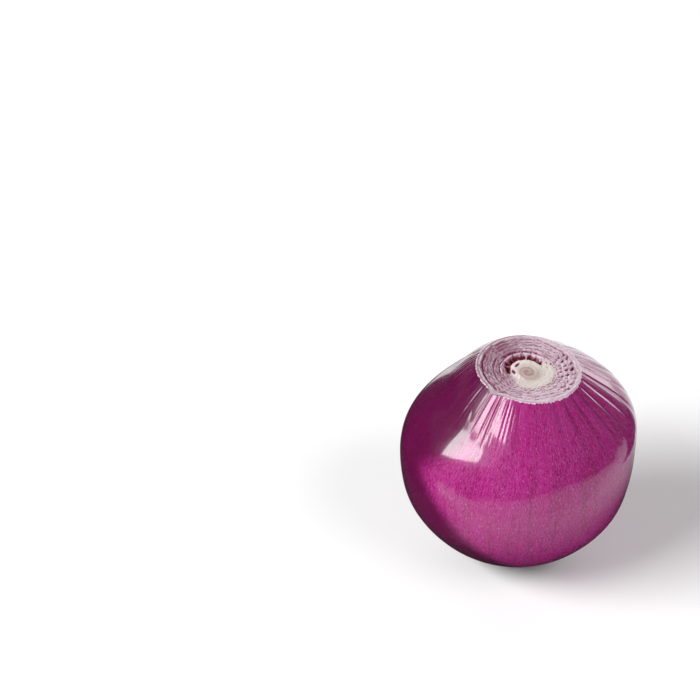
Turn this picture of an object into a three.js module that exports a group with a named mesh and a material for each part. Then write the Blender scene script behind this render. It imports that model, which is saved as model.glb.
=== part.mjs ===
// A peeled red shallot: one bulb, whose fleshy scales grew in layers on one base.
// It stands on its trimmed neck. The trimmed root end is on top, and there the cut scales show as rings.
// Millimetres, +Z up, front towards -Y. The origin is the middle of the flat that the bulb stands on.

import * as THREE from "three";
import { mergeVertices } from "three/addons/utils/BufferGeometryUtils.js";

// Driving dimensions
const height = 31.3; // from the trimmed neck to the trimmed root end, along the bulb
const girthRadius = 15.9; // at the widest place
const neckRadius = 4.8; // of the flat that the bulb stands on
const rimRadius = 7.05; // of the trimmed root end
const leanRight = THREE.MathUtils.degToRad(3.7); // of the root end, towards +X
const leanFront = THREE.MathUtils.degToRad(3); // of the root end, towards -Y

// The side of the bulb from neck to rim: radius as a share of the girth, height as a share of the whole
const sideShape = [
  [neckRadius / girthRadius, 0],
  [0.511, 0.073],
  [0.746, 0.18],
  [0.928, 0.32],
  [0.996, 0.467],
  [0.998, 0.607],
  [0.925, 0.727],
  [0.796, 0.827],
  [0.641, 0.913],
  [rimRadius / girthRadius, 1],
];
const sideSteps = 18;

// Pleats: shallow folds that run from the rim down the shoulder, and weaker ones at the neck
const pleatCount = 32;
const pleatDepth = 0.22;
const shoulderPleats = [0.62, 0.97]; // shares of the height where they begin and are full
const neckPleats = [0.16, 0.02];
const neckPleatShare = 0.45;
const deepPleats = THREE.MathUtils.degToRad(15); // they are deepest here and on the opposite side

// The bulb isn't quite round: each lobe is a count round the bulb, a share of the radius and a turn in radians
const lobes = [
  [2, 0.006, 0.9],
  [3, 0.005, 2.1],
];
const shoulderBulge = { share: 0.15, towards: 0, at: 0.84, width: 0.147 };

// Where the knife went a little deeper, a tongue of the outer scale runs out and down the shoulder
const tongue = { at: THREE.MathUtils.degToRad(234), halfAngle: 0.13, out: 0.6, down: 0.45 };

// The cut face: a shallow bowl with a raised heart. Places are shares of the rim's radius
const bowl = { depth: 0.35, edge: 1, floor: 0.55 };
const heart = { foot: 0.36, top: 0.17 };

// Gaps between the cut scales, from the rim inwards. Places and half widths are shares of the rim's radius,
// depths are in mm, and each gap is deepest at one bearing and fades to a share of that opposite to it
const gaps = [
  { at: 0.895, half: 0.026, depth: 0.6, deepest: 195, opposite: 0.4 },
  { at: 0.765, half: 0.02, depth: 0.32, deepest: 20, opposite: 0.5 },
  { at: 0.64, half: 0.022, depth: 0.42, deepest: 195, opposite: 0.4 },
  { at: 0.53, half: 0.02, depth: 0.42, deepest: 170, opposite: 0.15 },
  { at: 0.385, half: 0.065, depth: 1.5, deepest: 108, opposite: 0.02 },
  { at: 0.22, half: 0.028, depth: 0.6, deepest: 150, opposite: 0.02 },
];
const gapFade = 1.5; // the higher, the shorter the deep stretch of each gap

const roundSteps = 4 * pleatCount;

function smoothStep(from, to, value) {
  return THREE.MathUtils.smoothstep((value - from) / (to - from), 0, 1);
}

// 1 at one bearing, falling smoothly to 0 opposite to it
function facing(angle, bearing) {
  return 0.5 + 0.5 * Math.cos(angle - bearing);
}

function bell(distance, width) {
  return Math.exp(-((distance / width) ** 2));
}

// The pleats are uneven: their spacing and their depth wander round the bulb
function pleatWave(angle) {
  const wander = 1.3 * Math.sin(2 * angle + 0.6) + 0.8 * Math.sin(5 * angle + 1.9);
  const strength = 0.65 + 0.35 * Math.cos(2 * (angle - deepPleats));
  return strength * Math.cos(pleatCount * angle + wander);
}

function pleatOffset(angle, rise) {
  const shoulder = smoothStep(...shoulderPleats, rise);
  const neck = neckPleatShare * (1 - smoothStep(neckPleats[1], neckPleats[0], rise));
  return pleatDepth * (shoulder + neck) * pleatWave(angle);
}

function lobeShare(angle, rise) {
  const even = lobes.reduce((sum, [count, share, turn]) => sum + share * Math.cos(count * angle + turn), 0);
  const bulge = shoulderBulge.share * Math.cos(angle - shoulderBulge.towards);
  return even + bulge * bell(rise - shoulderBulge.at, shoulderBulge.width);
}

function tongueShare(angle) {
  const turn = Math.atan2(Math.sin(angle - tongue.at), Math.cos(angle - tongue.at));
  return bell(turn, tongue.halfAngle);
}

// Stations along the profile, from the middle of the neck's flat, up the side and in over the cut face.
// across is the share of the rim's radius on the cut face, and gap is set on the floor of a gap
function profileStations() {
  const side = new THREE.SplineCurve(
    sideShape.map(([radius, rise]) => new THREE.Vector2(radius * girthRadius, rise * height)),
  );
  const stations = [{ point: new THREE.Vector2(0, 0) }];
  side.getSpacedPoints(sideSteps).forEach((point) => stations.push({ point }));
  stations.at(-1).across = 1;
  const onFace = (across, gap) =>
    stations.push({ point: new THREE.Vector2(across * rimRadius, height), across, gap });
  gaps.forEach((gap) => {
    onFace(gap.at + gap.half);
    onFace(gap.at, gap);
    onFace(gap.at - gap.half);
  });
  onFace(0);
  return stations;
}

function bowlDip(across) {
  return bowl.depth * smoothStep(bowl.edge, bowl.floor, across) * smoothStep(heart.top, heart.foot, across);
}

function gapDip(gap, angle) {
  const bearing = THREE.MathUtils.degToRad(gap.deepest);
  return gap.depth * (gap.opposite + (1 - gap.opposite) * facing(angle, bearing) ** gapFade);
}

// Moves one point of the plain turned shape to where it grew
function grow(vertex, angle, station) {
  const onFace = station.across !== undefined;
  const rise = station.point.y / height;
  let radius = station.point.x;
  let z = station.point.y;
  if (onFace) {
    const { across } = station;
    const folds = pleatOffset(angle, 1) + tongue.out * tongueShare(angle);
    radius += (rimRadius * lobeShare(angle, 1) + folds * across ** 4) * across;
    z -= tongue.down * tongueShare(angle) * across ** 12 + bowlDip(across);
    z -= station.gap ? gapDip(station.gap, angle) : 0;
  } else {
    radius += radius > 0 ? pleatOffset(angle, rise) + radius * lobeShare(angle, rise) : 0;
  }
  vertex.set(radius * Math.cos(angle), radius * Math.sin(angle), z);
}

// Leans the upper part over: the middle of each level shifts, and the level tilts with it
function lean(vertex) {
  const rise = Math.min(vertex.z / height, 1);
  const tilt = rise ** 2 * (3 - 2 * rise);
  const shift = height * (rise ** 3 - rise ** 4 / 2);
  const { x, y, z } = vertex;
  vertex.x = shift * leanRight + x * Math.cos(leanRight * tilt);
  vertex.y = -shift * leanFront + y * Math.cos(leanFront * tilt);
  vertex.z = z - x * Math.sin(leanRight * tilt) + y * Math.sin(leanFront * tilt);
}

function bulbGeometry() {
  const stations = profileStations();
  const turned = new THREE.LatheGeometry(stations.map(({ point }) => point), roundSteps);
  turned.rotateX(Math.PI / 2);
  const position = turned.getAttribute("position");
  const vertex = new THREE.Vector3();
  for (let i = 0; i < position.count; i++) {
    const column = Math.floor(i / stations.length) % roundSteps;
    const angle = (2 * Math.PI * column) / roundSteps - Math.PI / 2; // the lathe starts at the front
    grow(vertex, angle, stations[i % stations.length]);
    lean(vertex);
    position.setXYZ(i, vertex.x, vertex.y, vertex.z);
  }
  turned.deleteAttribute("normal");
  turned.deleteAttribute("uv");
  const merged = mergeVertices(turned, 1e-4);
  merged.computeVertexNormals();
  return merged;
}

const skin = new THREE.MeshStandardMaterial({ color: 0x9c2c78, roughness: 0.3, metalness: 0 });

const bulb = new THREE.Mesh(bulbGeometry(), skin);
bulb.name = "bulb";

const shallot = new THREE.Group();
shallot.add(bulb);

export default shallot;
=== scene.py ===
# A peeled red shallot that stands on its trimmed neck, on a pale studio floor.
# Blender 4.5. Sizes in the dictionaries are millimetres, and the meshes are metres. Front is towards -Y.

import math

import bmesh
import bpy
from mathutils import Euler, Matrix, Quaternion, Vector, noise


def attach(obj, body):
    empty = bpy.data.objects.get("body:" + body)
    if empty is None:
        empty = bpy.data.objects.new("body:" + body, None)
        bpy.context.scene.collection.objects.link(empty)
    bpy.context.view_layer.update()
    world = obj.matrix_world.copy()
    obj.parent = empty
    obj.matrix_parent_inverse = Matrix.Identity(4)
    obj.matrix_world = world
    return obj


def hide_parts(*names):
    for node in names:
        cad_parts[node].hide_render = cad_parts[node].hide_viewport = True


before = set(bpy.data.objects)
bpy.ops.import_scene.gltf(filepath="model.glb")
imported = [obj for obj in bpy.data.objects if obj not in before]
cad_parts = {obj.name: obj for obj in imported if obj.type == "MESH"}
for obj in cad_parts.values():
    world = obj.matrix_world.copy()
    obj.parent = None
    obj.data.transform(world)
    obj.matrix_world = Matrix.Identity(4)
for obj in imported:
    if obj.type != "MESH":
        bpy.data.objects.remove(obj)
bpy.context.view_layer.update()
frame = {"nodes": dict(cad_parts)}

mm = 0.001
fullTurn = 2 * math.pi
print("frame loaded, nodes:", ", ".join(frame["nodes"]))


def smooth(low, high, value):
    share = min(max((value - low) / (high - low), 0), 1)
    return share * share * (3 - 2 * share)


def bell(distance, width):
    return math.exp(-((distance / width) ** 2))


def mix(a, b, share):
    return a + (b - a) * share


# 1 at one bearing, falling smoothly to 0 opposite to it
def facing(angle, degrees):
    return 0.5 + 0.5 * math.cos(angle - math.radians(degrees))


# how far an angle is from a bearing, in degrees, either way round
def degreesFrom(angle, degrees):
    return math.degrees((angle - math.radians(degrees) + math.pi) % fullTurn - math.pi)


# noise that closes on itself round the bulb: waves is about how many swells it has in a turn
def roundNoise(angle, waves, seed, along=0):
    reach = waves / math.pi
    return noise.noise(Vector((reach * math.cos(angle), reach * math.sin(angle), seed + along)))


# The bulb's own shape

bulb = {
    "height": 31.3,  # from the trimmed neck to the trimmed root end
    "girthRadius": 15.9,
    "neckRadius": 4.8,
    "rimRadius": 7.05,
    "leanRight": 3.7,  # degrees at the root end
    "leanFront": 3.0,
    # the side from neck to rim: radius as a share of the girth's, height as a share of the whole
    "side": [
        (4.8 / 15.9, 0), (0.511, 0.073), (0.746, 0.18), (0.928, 0.32), (0.996, 0.467),
        (0.998, 0.607), (0.925, 0.727), (0.796, 0.827), (0.641, 0.913), (7.05 / 15.9, 1),
    ],
    "lobes": [(2, 0.006, 0.9), (3, 0.005, 2.1)],  # count, share of the radius, turn
    "bulge": {"share": 0.15, "towards": 0, "at": 0.84, "width": 0.147},
    "roundSteps": 440,
    "neckRows": 36,
    "sideRows": 84,
    "faceRows": 98,
    "crowding": 1.35,  # above 1, rows on the side are closer near the rim
    "ragged": 0.06,  # how far the rim wanders in and out
    "onEdge": 0.0005,  # a point this close to the rim or the neck's edge is on it
    "mergeWithin": 0.0005,  # joins the turned profile's ends in the middle of both cuts
}

pleats = {
    "count": 32,
    "depth": 0.1,
    "narrow": 3.0,  # above 1, the valleys are narrower than the crests
    "deepest": 15,  # bearing
    "least": 0.14,  # share of the depth opposite to it
    "shoulder": (0.7, 0.97),  # shares of the height where they begin and are full
    "neck": (0.16, 0.02),
    "neckShare": 0.45,
    "creases": 96,  # narrow folds between the pleats
    "creaseDepth": 0.028,
    "atRim": 0.25,  # how much of both is left where the knife cut
    "belowRim": 1.2,  # where they are whole
    "creaseReach": 9.0,  # how far they run from the rim or the neck
    "deepCreases": [(236, 22, 7), (168, 30, 3)],  # bearing, half angle, how much deeper
    "longer": 0.28,  # above 0, the deeper creases are also longer
    "neckCreaseShare": 0.6,  # of the creases' depth
}

# Where the skin is painted darker: a broad patch on the left, mostly painted shade and partly the skin's
# own deeper colour; less on the right shoulder, and towards the neck
skinShade = {
    "leftAt": 165,  # bearing
    "leftHalfAngles": (64, 80),  # at the girth and under the rim
    "underRim": (0.62, 0.84),  # shares of the height between which the patch widens upwards
    "widerDown": 125,  # degrees for a whole height, from there down
    "leftEdge": 25,  # degrees over which it fades
    # share of the left's, degrees it fades between, and shares of the height where it begins and is full
    "right": {"share": 0.25, "fade": (10, 80), "from": (0.5, 0.75)},
    "neck": {"share": 0.8, "from": (0.22, 0.03)},
}

cutFace = {
    "tongue": {"at": 234, "halfAngle": 9.5, "out": 0.55, "down": 0.1, "pale": 0.12},
    "bowl": {"depth": 0.35, "edge": 1, "floor": 0.55},
    "heart": {"foot": 0.36, "top": 0.17},
    # gaps between the cut scales: place and half width are shares of the rim's radius, depths are in mm.
    # Each is open round a bearing, to a half angle either way, and closed to a faint line elsewhere
    "gaps": [
        {"at": 0.872, "half": 0.02, "depth": 0.27, "open": (200, 52), "seed": 0.0, "teeth": 0.38},
        {"at": 0.765, "half": 0.012, "depth": 0.08, "open": (200, 40), "seed": 19.3, "teeth": 0.4},
        {"at": 0.65, "half": 0.015, "depth": 0.16, "open": (190, 50), "seed": 41.7, "teeth": 0.38},
        {"at": 0.575, "half": 0.03, "depth": 0.34, "open": (104, 46), "seed": 26.1, "teeth": 0},
        {"at": 0.53, "half": 0.016, "depth": 0.22, "open": (185, 50), "seed": 33.2, "teeth": 0},
    ],
    # the widest gap: steep beside the heart, and sloping up to the next scale outside
    "cavity": {"inner": 0.3, "outer": 0.5, "depth": 0.8, "openAt": 118, "halfAngle": 98},
    # pale edges of scales that stand up: place, half width, height, bearing, half angle
    "walls": [(0.505, 0.016, 0.1, 118, 98), (0.27, 0.035, 0.1, 190, 85), (0.94, 0.03, 0.06, 190, 180)],
    # where the bases of the scales are cut, the gaps are rows of small slanted holes
    "toothed": {"at": 4, "halfAngle": 44, "count": 36, "slant": 0.03, "half": 0.026},
    "lineWidth": 0.011,
    "openedFully": 0.3,  # depth of a hole that shows its full colour, the inner skins' colour darkened as painted shade
    "creamSide": -32,  # the bearing where the cream heart reaches furthest
    "creamReach": (0.33, 0.57),  # shares of the rim's radius, opposite to that bearing and at it
    "shadedSide": 168,  # the bearing where the cut face is painted darkest, as shade
    "lineSide": 188,  # the bearing where the scales' feet are darkest
    "whorl": {"bearing": 283, "place": 0.1, "reach": 0.36, "pitch": 0.1, "depth": 0.02},
    # each cut scale is a low ridge with a darker line at its foot
    "ridges": {"pitch": 0.078, "height": 0.055, "wander": 0.9},
    "roughness": 0.035,
    # rings of the neck's cut: place, half width, depth
    "neckRings": [(0.86, 0.035, 0.28), (0.7, 0.035, 0.16), (0.5, 0.035, 0.12)],
    # small hollows: bearing, place, half angle in degrees, half width, depth in mm
    "pits": [
        (66, 0.215, 8, 0.017, 0.2), (150, 0.21, 24, 0.03, 0.34), (203, 0.265, 16, 0.032, 0.36),
        (29, 0.52, 3, 0.016, 0.2), (37, 0.475, 3, 0.02, 0.25), (22, 0.42, 3, 0.014, 0.2),
    ],
    # thin walls that still cross the widest gap: bearing, half angle, share of the depth
    "bridges": [
        (91, 3, 1), (70, 1.5, 0.3), (52, 3, 0.6), (36, 4, 0.9), (112, 2, 0.3), (131, 2.5, 0.6),
        (149, 3, 0.6), (166, 3.5, 0.8), (181, 3, 0.5),
    ],
}


# The side as an even curve through its points, each span by its neighbours, with the ends doubled
def sidePoints(spans):
    points = [
        Vector((radius * bulb["girthRadius"], 0, rise * bulb["height"])) for radius, rise in bulb["side"]
    ]
    padded = [points[0]] + points + [points[-1]]
    curve = []
    for before, start, end, after in zip(padded, padded[1:], padded[2:], padded[3:]):
        for step in range(spans):
            t = step / spans
            pull, push = (end - before) / 2, (after - start) / 2
            cubic = 2 * start - 2 * end + pull + push
            square = 3 * end - 3 * start - 2 * pull - push
            curve.append(cubic * t**3 + square * t**2 + pull * t + start)
    curve.append(points[-1])
    return curve


# Profile from the middle of the neck's cut, up the side, and in over the root end's cut
def profileStations():
    neck = [
        Vector((bulb["neckRadius"] * row / bulb["neckRows"], 0, 0)) for row in range(bulb["neckRows"])
    ]
    fine = sidePoints(60)
    lengths = [0.0]
    for a, b in zip(fine, fine[1:]):
        lengths.append(lengths[-1] + (b - a).length)
    side = []
    place = 0
    for row in range(bulb["sideRows"] + 1):
        wanted = lengths[-1] * (1 - (1 - row / bulb["sideRows"]) ** bulb["crowding"])
        while place < len(fine) - 2 and lengths[place + 1] < wanted:
            place += 1
        share = (wanted - lengths[place]) / (lengths[place + 1] - lengths[place])
        side.append(fine[place].lerp(fine[place + 1], share))
    face = [
        Vector((bulb["rimRadius"] * (1 - row / bulb["faceRows"]), 0, bulb["height"]))
        for row in range(1, bulb["faceRows"] + 1)
    ]
    return neck, side, face, lengths[-1]


# A pleat's height at one bearing, and how far down its valley that is, where the skin is painted darker as
# shade. Crests are broad, valleys narrow
def pleatAt(angle):
    wander = 1.3 * math.sin(2 * angle + 0.6) + 0.8 * math.sin(5 * angle + 1.9)
    strength = mix(pleats["least"], 1, facing(angle, pleats["deepest"]) ** 2.5)
    strength *= 0.9 + 0.9 * roundNoise(angle, 20, 8.6)
    valley = (0.5 - 0.5 * math.cos(pleats["count"] * angle + wander)) ** pleats["narrow"]
    return pleats["depth"] * strength * (1 - 2 * valley), strength * valley**2


# Creases are narrow valleys, uneven in spacing, depth and length
def creaseAt(angle, seed):
    wave = 0.5 + 0.5 * math.cos(pleats["creases"] * angle + 3.0 * roundNoise(angle, 14, seed))
    uneven = smooth(-0.35, 0.45, roundNoise(angle, 30, seed + 5))
    length = pleats["creaseReach"] * (0.45 + 0.9 * abs(roundNoise(angle, 40, seed + 2)))
    deeper = 1
    for bearing, halfAngle, more in pleats["deepCreases"]:
        deeper += more * bell(degreesFrom(angle, bearing), halfAngle)
    return {
        "depth": -pleats["creaseDepth"] * deeper * wave**3 * uneven,
        "length": length * deeper ** pleats["longer"],
    }


def creaseOffset(crease, fromEnd):
    return crease["depth"] * (1 - smooth(0.3 * crease["length"], crease["length"], fromEnd))


# how much of the pleats and creases there is at a distance below the rim
def belowRim(down):
    return mix(pleats["atRim"], 1, smooth(0, pleats["belowRim"], down))


# What the knife opened at one bearing: where each gap is, how wide and deep, and how strong its faint line
def gapsAt(angle):
    rows = cutFace["toothed"]
    toothed = 1 - smooth(0.65 * rows["halfAngle"], rows["halfAngle"], abs(degreesFrom(angle, rows["at"])))
    found = []
    for gap in cutFace["gaps"]:
        seed = gap["seed"]
        bearing, halfAngle = gap["open"]
        opening = 1 - smooth(0.6 * halfAngle, 1.15 * halfAngle, abs(degreesFrom(angle, bearing)))
        uneven = smooth(-0.5, 0.15, roundNoise(angle, 44, seed + 12))
        phase = rows["count"] * angle + seed + 3.2 * roundNoise(angle, 22, seed)
        tooth = gap["teeth"] * toothed * smooth(0.0, 0.6, math.cos(phase))
        tooth *= mix(0.6, 1, smooth(-0.4, 0.1, roundNoise(angle, 34, seed + 18)))
        place = gap["at"] + 0.012 * roundNoise(angle, 24, seed + 3)
        place += 0.007 * roundNoise(angle, 70, seed + 6)
        place += rows["slant"] * toothed * math.sin(phase) * (gap["teeth"] > 0)
        place -= 0.03 * bell(degreesFrom(angle, cutFace["tongue"]["at"]), 14) * smooth(0.8, 0.9, place)
        half = mix(gap["half"] * (1 + 0.5 * roundNoise(angle, 30, seed + 9)), rows["half"], toothed)
        depth = max(gap["depth"] * opening * mix(0.45, 1, uneven), tooth)
        dashes = smooth(-0.3, 0.25, roundNoise(angle, 60, seed + 15)) * (1 - 0.7 * opening)
        found.append({"place": place, "half": half, "depth": depth, "dashes": dashes})
    return found


def cavityAt(angle):
    cavity = cutFace["cavity"]
    away = abs(degreesFrom(angle, cavity["openAt"]))
    opening = 1 - smooth(0.55 * cavity["halfAngle"], cavity["halfAngle"], away)
    depth = cavity["depth"] * opening * (0.9 + 0.4 * roundNoise(angle, 16, 52))
    for bearing, halfAngle, share in cutFace["bridges"]:
        depth *= 1 - share * bell(degreesFrom(angle, bearing), halfAngle)
    inner = cavity["inner"] + 0.02 * roundNoise(angle, 12, 64)
    reach = (cavity["outer"] - cavity["inner"]) * mix(0.35, 1, opening)
    reach *= 1 + 0.5 * roundNoise(angle, 26, 71)
    return {"inner": inner, "reach": reach, "depth": depth}


# A wall's place, half width and height at one bearing
def wallAt(angle, wall):
    place, half, height, bearing, halfAngle = wall
    share = smooth(-0.6, 0, roundNoise(angle, 26, bearing))
    share *= 1 - smooth(0.7 * halfAngle, halfAngle, abs(degreesFrom(angle, bearing)))
    return place + 0.02 * roundNoise(angle, 14, 91 + 7 * place), half, height * share


# Everything that depends on the bearing alone
def columnAt(angle):
    bulge = bulb["bulge"]
    tongue = cutFace["tongue"]
    wander = cutFace["ridges"]["wander"]
    creamward = smooth(0.25, 0.85, facing(angle, cutFace["creamSide"]))
    # painted shade over the cut face's left side
    shadeward = smooth(0.35, 1, facing(angle, cutFace["shadedSide"]))
    pleat, valley = pleatAt(angle)
    return {
        "angle": angle,
        "pleat": pleat,
        "valley": valley,
        "rimCrease": creaseAt(angle, 3.1),
        "neckCrease": creaseAt(angle, 23.4),
        "lobes": sum(share * math.cos(count * angle + turn) for count, share, turn in bulb["lobes"]),
        "bulge": bulge["share"] * math.cos(angle - math.radians(bulge["towards"])),
        "tongue": bell(degreesFrom(angle, tongue["at"]), tongue["halfAngle"]),
        "ragged": bulb["ragged"] * roundNoise(angle, 110, 33),
        "gaps": gapsAt(angle),
        "cavity": cavityAt(angle),
        "ridge": wander * (roundNoise(angle, 9, 55) + 0.5 * roundNoise(angle, 30, 57)),
        "ridgeLine": mix(0.45, 1, facing(angle, cutFace["lineSide"]) ** 2),
        "walls": [wallAt(angle, wall) for wall in cutFace["walls"]],
        "creamReach": mix(*cutFace["creamReach"], creamward) + 0.05 * roundNoise(angle, 24, 61),
        "mauveShade": shadeward * (0.9 + 0.3 * roundNoise(angle, 6, 77)),
    }


def pleatFade(rise):
    shoulder = smooth(*pleats["shoulder"], rise)
    return shoulder + pleats["neckShare"] * (1 - smooth(pleats["neck"][1], pleats["neck"][0], rise))


def lobeShare(column, rise):
    return column["lobes"] + column["bulge"] * bell(rise - bulb["bulge"]["at"], bulb["bulge"]["width"])


# Leans the upper part over: the middle of each level shifts, and the level tilts with it
def lean(point):
    right, front = math.radians(bulb["leanRight"]), math.radians(bulb["leanFront"])
    rise = min(point.z / bulb["height"], 1)
    tilt = rise**2 * (3 - 2 * rise)
    shift = bulb["height"] * (rise**3 - rise**4 / 2)
    return Vector((
        shift * right + point.x * math.cos(right * tilt),
        -shift * front + point.y * math.cos(front * tilt),
        point.z - point.x * math.sin(right * tilt) + point.y * math.sin(front * tilt),
    ))


# The root end's cut at one point: how deep it is opened there, how deep the widest gap is, and how strong
# a line is
def openedAt(column, across):
    deepest = widest = line = 0.0
    for gap in column["gaps"]:
        distance = abs(across - gap["place"])
        share = distance / gap["half"]
        if share < 1.4:
            deepest = max(deepest, gap["depth"] * (1 - smooth(0.45, 1.4, share)))
        line = max(line, gap["dashes"] * bell(distance, cutFace["lineWidth"]))
    cavity = column["cavity"]
    share = (across - cavity["inner"]) / cavity["reach"]
    if 0 < share < 1:
        widest = cavity["depth"] * smooth(0, 0.22, share) * (1 - smooth(0.35, 1, share))
    for bearing, place, halfAngle, half, depth in cutFace["pits"]:
        if abs(across - place) < 1.3 * half:
            share = math.hypot(degreesFrom(column["angle"], bearing) / halfAngle, (across - place) / half)
            deepest = max(deepest, depth * (1 - smooth(0.4, 1.3, share)))
    return max(deepest, widest), widest, line


# The innermost scales are rolled round a middle that is a little off the bulb's own: how much of a rolled
# edge is at one point, and how near to the middle it is
def whorlAt(angle, across):
    whorl = cutFace["whorl"]
    turned = math.radians(whorl["bearing"])
    right = across * math.cos(angle) - whorl["place"] * math.cos(turned)
    back = across * math.sin(angle) - whorl["place"] * math.sin(turned)
    place = math.hypot(right, back)
    wave = 0.5 + 0.5 * math.cos(fullTurn * place / whorl["pitch"] - math.atan2(back, right))
    rolled = wave * (1 - smooth(0.5 * whorl["reach"], whorl["reach"], place))
    return rolled, 1 - smooth(0, whorl["reach"], place)


# rootCut, side and neckCut each give a point's radius and height, and what its material needs to know
def rootCut(column, radius, z):
    angle = column["angle"]
    across = radius / bulb["rimRadius"]
    bowl, heart, tongue = cutFace["bowl"], cutFace["heart"], cutFace["tongue"]
    folds = belowRim(0) * pleatFade(1) * column["pleat"] + tongue["out"] * column["tongue"]
    edge = belowRim(0) * creaseOffset(column["rimCrease"], 0) + column["ragged"]
    radius += (bulb["rimRadius"] * lobeShare(column, 1) + folds * across**4 + edge * across**16) * across
    dip = bowl["depth"] * smooth(bowl["edge"], bowl["floor"], across)
    dip *= smooth(heart["top"], heart["foot"], across)
    dip += tongue["down"] * column["tongue"] * across**12
    ridges = cutFace["ridges"]
    foot = 0.5 - 0.5 * math.cos(fullTurn * (across / ridges["pitch"] + column["ridge"]))
    creamShare = 1 - smooth(column["creamReach"] - 0.2, column["creamReach"] + 0.14, across)
    foot *= smooth(0.26, 0.4, across) * smooth(1, 0.93, across) * (1 - 0.55 * creamShare)
    dip += ridges["height"] * foot
    wall = max(height * bell(across - place, half) for place, half, height in column["walls"])
    dip -= wall
    uneven = smooth(-0.45, 0.3, roundNoise(angle, 30, 83, 5 * across))
    dip += cutFace["roughness"] * roundNoise(angle, 90 * max(across, 0.1), 21, 9 * across)
    hole, widest, line = openedAt(column, across)
    rolled, middle = whorlAt(angle, across)
    dip += cutFace["whorl"]["depth"] * (1 - rolled) * middle
    return radius, z - dip - hole, {
        # how deep a hole is: the flesh shows the inner skins' colour there, painted darker as shade the
        # deeper it is
        "opened": min(hole / cutFace["openedFully"], 1),
        "hollowShade": smooth(0.08, 0.4, widest),
        "line": max(line, foot**1.5 * column["ridgeLine"] * uneven),
        "cream": creamShare,
        "wall": min(wall / 0.08, 1),
        # painted shade over the left of the cut face
        "mauveShade": column["mauveShade"] * smooth(0.24, 0.4, across),
        "whorl": mix(0.6, 1, rolled) * middle,
    }


# Share of the dark wine colour at one point: painted shade on the left, and darker on the right shoulder
# and towards the neck
def skinShadeAt(angle, rise):
    reach = mix(*skinShade["leftHalfAngles"], smooth(*skinShade["underRim"], rise))
    reach += skinShade["widerDown"] * max(skinShade["underRim"][0] - rise, 0)
    left = smooth(0, 1, (reach - abs(degreesFrom(angle, skinShade["leftAt"]))) / skinShade["leftEdge"])
    shoulder = skinShade["right"]
    away = abs(degreesFrom(angle, 0))
    right = shoulder["share"] * (1 - smooth(*shoulder["fade"], away)) * smooth(*shoulder["from"], rise)
    return max(left, right, skinShade["neck"]["share"] * smooth(*skinShade["neck"]["from"], rise))


def side(column, radius, z, up, down):
    rise = z / bulb["height"]
    radius += belowRim(down) * pleatFade(rise) * column["pleat"] + radius * lobeShare(column, rise)
    radius += belowRim(down) * creaseOffset(column["rimCrease"], down)
    radius += pleats["neckCreaseShare"] * creaseOffset(column["neckCrease"], up)
    radius += column["ragged"] * (1 - smooth(0, 0.9, down))
    return radius, z, {
        # painted shade in the pleats' valleys and the creases
        "foldShade": min(pleatFade(rise), 1) * column["valley"] - 9 * creaseOffset(column["rimCrease"], down),
        # the dark wine colour: painted shade on the left, darker on the right shoulder and towards the neck
        "wine": skinShadeAt(column["angle"], rise),
        "skinFrom": down - cutFace["tongue"]["pale"] * column["tongue"] ** 2,
    }


# The neck's cut is hollowed only upwards, so that the bulb still stands flat
def neckCut(column, radius, z):
    across = radius / bulb["neckRadius"]
    crease = pleats["neckCreaseShare"] * creaseOffset(column["neckCrease"], 0)
    radius += (pleatFade(0) * column["pleat"] + crease) * across
    radius += bulb["neckRadius"] * lobeShare(column, 0) * across
    hole = 0.0
    for ring, half, depth in cutFace["neckRings"]:
        wobble = 0.02 * roundNoise(column["angle"], 22, 40 + 10 * ring)
        strength = smooth(-0.4, 0.2, roundNoise(column["angle"], 18, ring))
        hole = max(hole, depth * strength * bell(across - ring - wobble, half))
    return radius, z + hole, {"opened": min(hole / 0.25, 1), "cream": 1 - smooth(0.5, 0.72, across)}


# The profile turned once round, still plain. Each vertex keeps how far along the profile it is
def turnProfile():
    neckLine, sideLine, rootLine, sideLength = profileStations()
    shape = bmesh.new()
    along = shape.verts.layers.float.new("along")
    chain = []
    for point in neckLine + sideLine + rootLine:
        vertex = shape.verts.new(point)
        if chain:
            vertex[along] = chain[-1][along] + (vertex.co - chain[-1].co).length
            shape.edges.new((chain[-1], vertex))
        chain.append(vertex)
    bmesh.ops.spin(
        shape, geom=shape.verts[:] + shape.edges[:], cent=(0, 0, 0), axis=(0, 0, 1),
        angle=fullTurn, steps=bulb["roundSteps"], use_merge=True,
    )
    bmesh.ops.remove_doubles(shape, verts=shape.verts[:], dist=bulb["mergeWithin"])
    bmesh.ops.recalc_face_normals(shape, faces=shape.faces[:])
    return shape, along, bulb["neckRadius"] + sideLength


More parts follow.
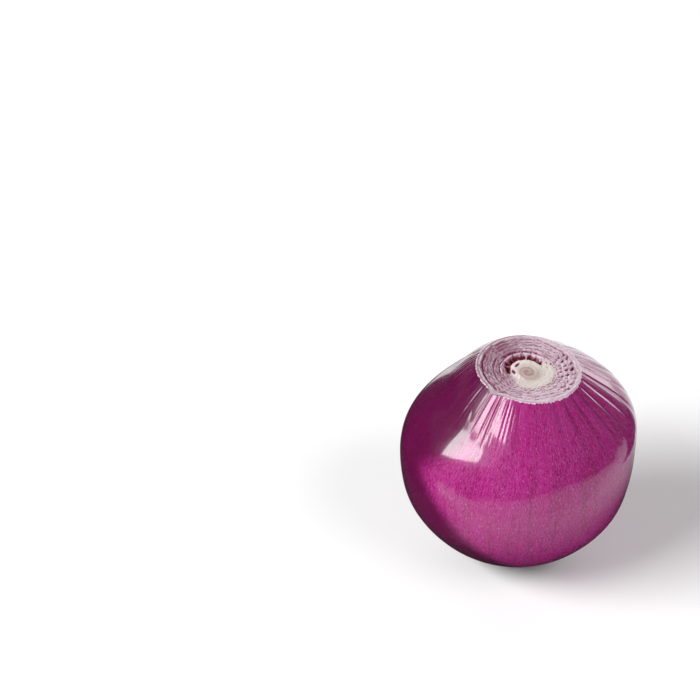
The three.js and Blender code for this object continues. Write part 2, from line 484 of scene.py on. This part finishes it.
def growShallot():
    shape, along, rimAlong = turnProfile()
    for polygon in shape.faces:
        middle = sum(vertex[along] for vertex in polygon.verts) / len(polygon.verts)
        polygon.material_index = 0 if bulb["neckRadius"] < middle < rimAlong else 1
        polygon.smooth = True

    grain = shape.verts.layers.float_vector.new("grain")
    layers = {
        name: shape.verts.layers.float.new(name)
        for name in (
            "skinFrom", "foldShade", "wine", "opened", "hollowShade", "line", "wall", "cream", "mauveShade", "whorl",
        )
    }
    girth = bulb["girthRadius"]
    columns = [columnAt(fullTurn * step / bulb["roundSteps"]) for step in range(bulb["roundSteps"])]
    for vertex in shape.verts:
        x, y, z = vertex.co
        radius = math.hypot(x, y)
        column = columns[round(math.atan2(y, x) * bulb["roundSteps"] / fullTurn) % bulb["roundSteps"]]
        angle = column["angle"]
        up, down = vertex[along] - bulb["neckRadius"], rimAlong - vertex[along]
        if down < bulb["onEdge"]:
            radius, z, looks = rootCut(column, radius, z)
        elif up > -bulb["onEdge"]:
            radius, z, looks = side(column, radius, z, up, down)
        else:
            radius, z, looks = neckCut(column, radius, z)
        for name, amount in looks.items():
            vertex[layers[name]] = amount
        vertex[grain] = (girth * math.cos(angle), girth * math.sin(angle), vertex[along])
        vertex.co = lean(Vector((radius * math.cos(angle), radius * math.sin(angle), z))) * mm

    mesh = bpy.data.meshes.new("shallotBulb")
    shape.to_mesh(mesh)
    shape.free()
    grown = bpy.data.objects.new("shallotBulb", mesh)
    bpy.context.scene.collection.objects.link(grown)
    return grown


# Materials

def fromHex(code):
    channels = [int(code[i:i + 2], 16) / 255 for i in (1, 3, 5)]
    linear = [c / 12.92 if c <= 0.04045 else ((c + 0.055) / 1.055) ** 2.4 for c in channels]
    return (*linear, 1)


# Adds one node. Settings are its own options, and an input takes a value or the socket it is linked to
def addNode(tree, kind, settings, inputs):
    node = tree.nodes.new(kind)
    for name, value in settings.items():
        setattr(node, name, value)
    for socket, source in inputs.items():
        if isinstance(source, bpy.types.NodeSocket):
            tree.links.new(source, node.inputs[socket])
        else:
            node.inputs[socket].default_value = source
    return node


softStep = {"interpolation_type": "SMOOTHSTEP"}
mixColours = {"data_type": "RGBA"}
mixA, mixB, mixOut = 6, 7, 2  # the Mix node's colour sockets


# Lays colours over a first one. Each layer is its colour, the pattern that shows it, the pattern's values
# where the colour begins and is full, and how much of it there is then
def layColours(tree, first, layers):
    colour = first
    for laid, pattern, begins, full, most in layers:
        share = addNode(
            tree, "ShaderNodeMapRange", softStep,
            {"Value": pattern, "From Min": begins, "From Max": full, "To Min": 0, "To Max": most},
        )
        colour = addNode(
            tree, "ShaderNodeMix", mixColours, {0: share.outputs["Result"], mixA: colour, mixB: laid},
        ).outputs[mixOut]
    return colour


# Noise whose grains have a width across the bulb and a length along it
def layGrain(tree, places, size, shift, detail):
    width, length = size
    stretched = addNode(
        tree, "ShaderNodeMapping", {},
        {"Vector": places, "Scale": (1 / width, 1 / width, 1 / length), "Location": (shift, shift, shift)},
    )
    return addNode(
        tree, "ShaderNodeTexNoise", {},
        {"Vector": stretched.outputs["Vector"], "Scale": 1, "Detail": detail, "Roughness": 0.6},
    ).outputs["Fac"]


# A peeled red shallot's outer skin: one layer of pigmented cells, so it has fine pale grain along the bulb,
# darker streaks from root to neck, a moist gloss, and light that comes a little way through
skinLook = {
    "base": "#980f69",
    "deep": "#7b084e",
    # painted shade, mostly on the left
    "wine": "#4a042f",
    "pale": "#a83c86",
    "speck": "#c58db4",
    # painted shade in the valleys of pleats and creases
    "foldShade": "#6a0b45",
    "cut": "#d3c3cd",
    "streak": (2.0, 24),  # width and length
    "strand": (0.5, 7),
    "ripple": (0.3, 2.2),
    "cell": (0.13, 0.55),
    "dot": (0.13, 0.2),
    "tooth": (0.5, 0.9),  # of the ragged edge that the knife left, as wide as if it were at the girth
    "toothDepth": 0.26,
    "cloudSize": 6,
    "roughness": 0.21,
    "moisture": 0.8,  # a thin wet film over the cells, which gives the crisp part of the gloss
    "moistureRoughness": 0.06,
    "cellHeight": 0.005,
    "rippleHeight": 0.017,
    "strandHeight": 0.018,
}


def shallotSkin():
    look = skinLook
    material = bpy.data.materials.new("redShallotSkinPeeled")
    material.use_nodes = True
    tree = material.node_tree
    shader = tree.nodes["Principled BSDF"]
    given = {
        name: addNode(tree, "ShaderNodeAttribute", {"attribute_name": name}, {})
        for name in ("grain", "skinFrom", "foldShade", "wine")
    }
    places = given["grain"].outputs["Vector"]
    streak = layGrain(tree, places, look["streak"], 0, 3)
    strand = layGrain(tree, places, look["strand"], 7, 2)
    ripple = layGrain(tree, places, look["ripple"], 19, 1)
    cell = layGrain(tree, places, look["cell"], 13, 1)
    dot = layGrain(tree, places, look["dot"], 41, 0)
    tooth = layGrain(tree, places, look["tooth"], 29, 1)
    cloud = addNode(
        tree, "ShaderNodeTexNoise", {},
        {"Vector": addNode(tree, "ShaderNodeTexCoord", {}, {}).outputs["Object"],
         "Scale": 1000 / look["cloudSize"], "Detail": 2},
    ).outputs["Fac"]

    # the pale cells show more in some places than in others
    paleCell = addNode(
        tree, "ShaderNodeMath", {"operation": "MULTIPLY_ADD"}, {0: cloud, 1: 0.3, 2: cell},
    ).outputs[0]
    ragged = addNode(
        tree, "ShaderNodeMath", {"operation": "MULTIPLY_ADD"},
        {0: tooth, 1: -2 * look["toothDepth"], 2: given["skinFrom"].outputs["Fac"]},
    ).outputs[0]
    colour = layColours(tree, fromHex(look["base"]), [
        (fromHex(look["deep"]), streak, 0.42, 0.66, 0.8),
        (fromHex(look["deep"]), cloud, 0.5, 0.72, 0.45),
        (fromHex(look["pale"]), paleCell, 0.54, 0.76, 0.66),
        (fromHex(look["deep"]), strand, 0.5, 0.72, 0.4),
        (fromHex(look["speck"]), dot, 0.66, 0.82, 0.42),
        # painted shade, mostly on the left, and darker on the right shoulder and towards the neck
        (fromHex(look["wine"]), given["wine"].outputs["Fac"], 0, 1, 0.88),
        # painted shade in the pleats' valleys and the creases
        (fromHex(look["foldShade"]), given["foldShade"].outputs["Fac"], 0.2, 0.9, 0.5),
        (fromHex(look["cut"]), ragged, -0.5 * look["toothDepth"], -0.8 * look["toothDepth"], 1),
    ])
    tree.links.new(colour, shader.inputs["Base Color"])
    relief = cell
    for grain, tall in ((ripple, look["rippleHeight"]), (strand, look["strandHeight"])):
        relief = addNode(
            tree, "ShaderNodeMath", {"operation": "MULTIPLY_ADD"},
            {0: grain, 1: tall / look["cellHeight"], 2: relief},
        ).outputs[0]
    bump = addNode(
        tree, "ShaderNodeBump", {},
        {"Strength": 1, "Distance": look["cellHeight"] * mm, "Height": relief},
    )
    tree.links.new(bump.outputs["Normal"], shader.inputs["Normal"])
    shader.inputs["Roughness"].default_value = look["roughness"]
    shader.inputs["Subsurface Weight"].default_value = 0.2
    shader.inputs["Subsurface Radius"].default_value = (1.0, 0.25, 0.6)
    shader.inputs["Subsurface Scale"].default_value = 1.0 * mm
    shader.inputs["IOR"].default_value = 1.27  # low, because the wet film over it carries most of the gloss
    shader.inputs["Coat Weight"].default_value = look["moisture"]
    shader.inputs["Coat Roughness"].default_value = look["moistureRoughness"]
    return material


# Shallot flesh where a knife cut it: watery and translucent, lilac in the scales and cream at the heart,
# with wine-red gaps where the skins of the inner scales show, painted darker the deeper they are as shade
fleshLook = {
    "lilac": "#bfaab4",
    "ring": "#a27c8f",
    # painted shade over the left of the cut face
    "mauveShade": "#713d4c",
    "line": "#7f3a60",
    "cream": "#cfc5bd",
    "whorl": "#8a5c5c",
    "crest": "#d6c6ce",
    "skinLine": "#86265c",
    # the inner skins' colour, painted darker as shade in deep gaps and the widest gap
    "deepLineShade": "#761a4c",
    "hollowShade": "#5c1e18",
    "brown": "#4e2a1c",
    "ringWidth": 0.3,
    "crestWidth": 0.13,
    "fibreWidth": 0.2,
    "roughness": 0.3,
    "fibreHeight": 0.05,
}


def shallotFlesh():
    look = fleshLook
    material = bpy.data.materials.new("shallotFleshKnifeCut")
    material.use_nodes = True
    tree = material.node_tree
    shader = tree.nodes["Principled BSDF"]
    given = {
        name: addNode(tree, "ShaderNodeAttribute", {"attribute_name": name}, {}).outputs
        for name in ("grain", "opened", "hollowShade", "line", "wall", "cream", "mauveShade", "whorl")
    }
    # rings follow the cut round, and fibres cross it
    ring = layGrain(tree, given["grain"]["Vector"], (8, look["ringWidth"]), 0, 2)
    crest = layGrain(tree, given["grain"]["Vector"], (2.2, look["crestWidth"]), 5, 1)
    fibre = addNode(
        tree, "ShaderNodeTexNoise", {},
        {"Vector": addNode(tree, "ShaderNodeTexCoord", {}, {}).outputs["Object"],
         "Scale": 1 / (look["fibreWidth"] * mm), "Detail": 2},
    ).outputs["Fac"]
    # deep holes are painted darker as shade, browner near the heart
    deepLineShade = layColours(
        tree, fromHex(look["deepLineShade"]), [(fromHex(look["brown"]), given["cream"]["Fac"], 0, 1, 1)],
    )
    colour = layColours(tree, fromHex(look["lilac"]), [
        # painted shade over the left of the cut face
        (fromHex(look["mauveShade"]), given["mauveShade"]["Fac"], 0.1, 1, 0.8),
        (fromHex(look["ring"]), ring, 0.42, 0.66, 0.75),
        (fromHex(look["crest"]), crest, 0.52, 0.72, 0.7),
        (fromHex(look["cream"]), given["cream"]["Fac"], 0, 1, 0.94),
        (fromHex(look["line"]), given["line"]["Fac"], 0.08, 0.72, 0.88),
        (fromHex(look["whorl"]), given["whorl"]["Fac"], 0, 1, 0.85),
        (fromHex(look["crest"]), given["wall"]["Fac"], 0.2, 1, 0.8),
        # the inner skins' colour in the gaps, painted darker as shade where they are deep
        (fromHex(look["skinLine"]), given["opened"]["Fac"], 0.15, 0.75, 0.9),
        (deepLineShade, given["opened"]["Fac"], 0.55, 1, 0.85),
        (fromHex(look["hollowShade"]), given["hollowShade"]["Fac"], 0, 1, 0.9),
    ])
    tree.links.new(colour, shader.inputs["Base Color"])
    bump = addNode(
        tree, "ShaderNodeBump", {},
        {"Strength": 1, "Distance": look["fibreHeight"] * mm, "Height": fibre},
    )
    tree.links.new(bump.outputs["Normal"], shader.inputs["Normal"])
    shader.inputs["Roughness"].default_value = look["roughness"]
    shader.inputs["Subsurface Weight"].default_value = 0.25
    shader.inputs["Subsurface Radius"].default_value = (1.0, 0.7, 0.8)
    shader.inputs["Subsurface Scale"].default_value = 0.4 * mm
    shader.inputs["IOR"].default_value = 1.4
    return material


shallot = growShallot()
shallot.data.materials.append(shallotSkin())
shallot.data.materials.append(shallotFlesh())
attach(shallot, "root")
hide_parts("bulb")
print("shallot grown:", len(shallot.data.vertices), "vertices,", len(shallot.data.polygons), "faces")


# Studio

studio = {
    "floorSide": 4000,
    "floorColour": "#f2f2f2",
    "worldColour": "#ffffff",
    "worldStrength": 0.12,
    # softboxes: where each stands as seen from the bulb, how far it is rolled, its size and its strength
    # in watts. Gloss doesn't show the fill, which only evens out the right
    "lights": [
        {
            "name": "keySoftbox", "turn": 204, "up": 37.2, "away": 1400, "roll": 17,
            "size": (1180, 574), "watts": 27.5, "gloss": True,
        },
        {
            "name": "rightFill", "turn": 330, "up": 40, "away": 1400, "roll": 0,
            "size": (1000, 800), "watts": 8.5, "gloss": False,
        },
        {
            "name": "backPanel", "turn": 87, "up": 13.5, "away": 1600, "roll": 0,
            "size": (2450, 770), "watts": 19, "gloss": True,
        },
    ],
    # black cards that show only in the gloss, where they keep the bulb's colour deep: the middle of each
    # one's foot, how far that is above the floor, the bearing that it faces, its width and its height
    "flags": [
        {"name": "leftFlag", "foot": (-31, 31), "lift": 0, "faces": 0, "size": (62, 29)},
        {"name": "lowFlag", "foot": (-31, -9), "lift": 0, "faces": 0, "size": (18, 29)},
        {"name": "rightFlag", "foot": (37, 14), "lift": 0, "faces": 212, "size": (18, 25)},
        # these two trim the key's reflection to its slanted shape
        {"name": "keyTrimLeft", "foot": (-41, 3), "lift": 41.5, "faces": 0, "size": (41, 38)},
        {"name": "keyTrimRight", "foot": (-27, -37), "lift": 12, "faces": 50, "size": (13.6, 40)},
    ],
    # cards that lie on the floor and fade out: the middle of each, how far it reaches sideways, to the
    # front and to the back, and how far from its middle it is black and clear. One lies left of the bulb
    # and one under it. The third is clear near the bulb and keeps the far floor out of the gloss
    "floorCards": [
        {"name": "leftShade", "middle": (-38, 16), "reach": (50, 50, 50), "black": 34, "clear": 50},
        {"name": "footShade", "middle": (4, 2), "reach": (36, 36, 36), "black": 15, "clear": 36},
        {"name": "farShade", "middle": (0, 0), "reach": (1500, 1500, 4), "black": 260, "clear": 40},
    ],
    "cardClearance": 0.05,  # of each floor card above the one below it
    "flagColour": "#0a0a0a",
}


def mattePaint(name, colour):
    material = bpy.data.materials.new(name)
    material.use_nodes = True
    shader = material.node_tree.nodes["Principled BSDF"]
    shader.inputs["Base Color"].default_value = fromHex(colour)
    shader.inputs["Roughness"].default_value = 0.9
    return material


# Matte paint that is clear at one distance from the card's own middle and covers fully at another
def fadingPaint(name, colour, clear, full):
    material = mattePaint(name, colour)
    tree = material.node_tree
    places = addNode(tree, "ShaderNodeTexCoord", {}, {}).outputs["Object"]
    distance = addNode(tree, "ShaderNodeVectorMath", {"operation": "LENGTH"}, {0: places})
    share = addNode(
        tree, "ShaderNodeMapRange", softStep,
        {"Value": distance.outputs["Value"], "From Min": clear * mm, "From Max": full * mm},
    )
    tree.links.new(share.outputs["Result"], tree.nodes["Principled BSDF"].inputs["Alpha"])
    return material


# A flat sheet round its own origin, or shifted along its length from there
def stageSheet(name, width, length, material, shift=0):
    sheet = bmesh.new()
    bmesh.ops.create_grid(sheet, x_segments=1, y_segments=1, size=0.5 * mm)
    bmesh.ops.scale(sheet, verts=sheet.verts[:], vec=(width, length, 1))
    bmesh.ops.translate(sheet, verts=sheet.verts[:], vec=(0, shift * mm, 0))
    mesh = bpy.data.meshes.new(name)
    sheet.to_mesh(mesh)
    sheet.free()
    mesh.materials.append(material)
    placed = bpy.data.objects.new(name, mesh)
    bpy.context.scene.collection.objects.link(placed)
    return placed


# Only the gloss sees a card: the camera doesn't, and it casts no shade
def glossOnly(card):
    card.visible_camera = card.visible_diffuse = card.visible_shadow = False


def setFloor():
    floorPaint = mattePaint("mattePaintedFloor", studio["floorColour"])
    stageSheet("studioFloor", studio["floorSide"], studio["floorSide"], floorPaint)


def setCards():
    black = mattePaint("matteBlackCard", studio["flagColour"])
    for flag in studio["flags"]:
        card = stageSheet(flag["name"], *flag["size"], black)
        card.location = Vector((*flag["foot"], flag["lift"] + flag["size"][1] / 2)) * mm
        card.rotation_euler = (math.pi / 2, 0, math.radians(flag["faces"] + 90))
        glossOnly(card)

    for number, shade in enumerate(studio["floorCards"], 1):
        sideways, front, back = shade["reach"]
        paint = fadingPaint(shade["name"], studio["flagColour"], shade["clear"], shade["black"])
        card = stageSheet(shade["name"], 2 * sideways, front + back, paint, (back - front) / 2)
        card.location = Vector((*shade["middle"], number * studio["cardClearance"])) * mm
        glossOnly(card)


def setLights():
    world = bpy.data.worlds.new("studioAir")
    world.use_nodes = True
    background = world.node_tree.nodes["Background"]
    background.inputs["Color"].default_value = fromHex(studio["worldColour"])
    background.inputs["Strength"].default_value = studio["worldStrength"]
    bpy.context.scene.world = world

    middle = Vector((0, 0, bulb["height"] / 2 * mm))
    for light in studio["lights"]:
        turn, up = math.radians(light["turn"]), math.radians(light["up"])
        outward = Vector((math.cos(turn) * math.cos(up), math.sin(turn) * math.cos(up), math.sin(up)))
        lamp = bpy.data.lights.new(light["name"], "AREA")
        lamp.shape = "RECTANGLE"
        lamp.size, lamp.size_y = (side * mm for side in light["size"])
        lamp.energy = light["watts"]
        lampObject = bpy.data.objects.new(light["name"], lamp)
        lampObject.location = middle + outward * light["away"] * mm
        roll = Quaternion((0, 0, 1), math.radians(light["roll"]))
        lampObject.rotation_euler = (outward.to_track_quat("Z", "Y") @ roll).to_euler()
        lampObject.visible_glossy = light["gloss"]
        bpy.context.scene.collection.objects.link(lampObject)


# The camera looks down at the bulb, which stands right of the middle and below it in the picture
camera = {
    "lens": 135,
    "sensor": 36,
    "picture": 700,  # pixels each way
    "away": 372,
    "down": 40.7,  # degrees, of the line from the camera to the bulb
    "standsAt": (510.5, 540.9),  # pixel of the middle of the flat that the bulb stands on
}


def setCamera():
    pixels = camera["lens"] / camera["sensor"] * camera["picture"]
    across = (camera["standsAt"][0] - camera["picture"] / 2) / pixels
    up = (camera["picture"] / 2 - camera["standsAt"][1]) / pixels
    # tilt and turn that put the foot of the bulb at that pixel, with the line to it going straight back
    steep = math.sin(math.radians(camera["down"])) * math.sqrt(1 + across**2 + up**2)
    tilt = math.asin(steep / math.sqrt(1 + up**2)) + math.atan(up)
    turn = math.atan(across / (math.cos(tilt) + up * math.sin(tilt)))
    data = bpy.data.cameras.new("camera")
    data.lens = camera["lens"]
    data.sensor_width = camera["sensor"]
    data.clip_start = 0.01
    data.clip_end = 20
    eye = bpy.data.objects.new("camera", data)
    eye.rotation_euler = Euler((math.pi / 2 - tilt, 0, turn))
    foot = Vector((across, up, -1)) * camera["away"] * mm
    eye.location = -(eye.rotation_euler.to_matrix() @ foot)
    bpy.context.scene.collection.objects.link(eye)
    bpy.context.scene.camera = eye


setFloor()
setCards()
setLights()
setCamera()
bpy.context.scene.view_settings.view_transform = "Standard"
print("studio and camera set")
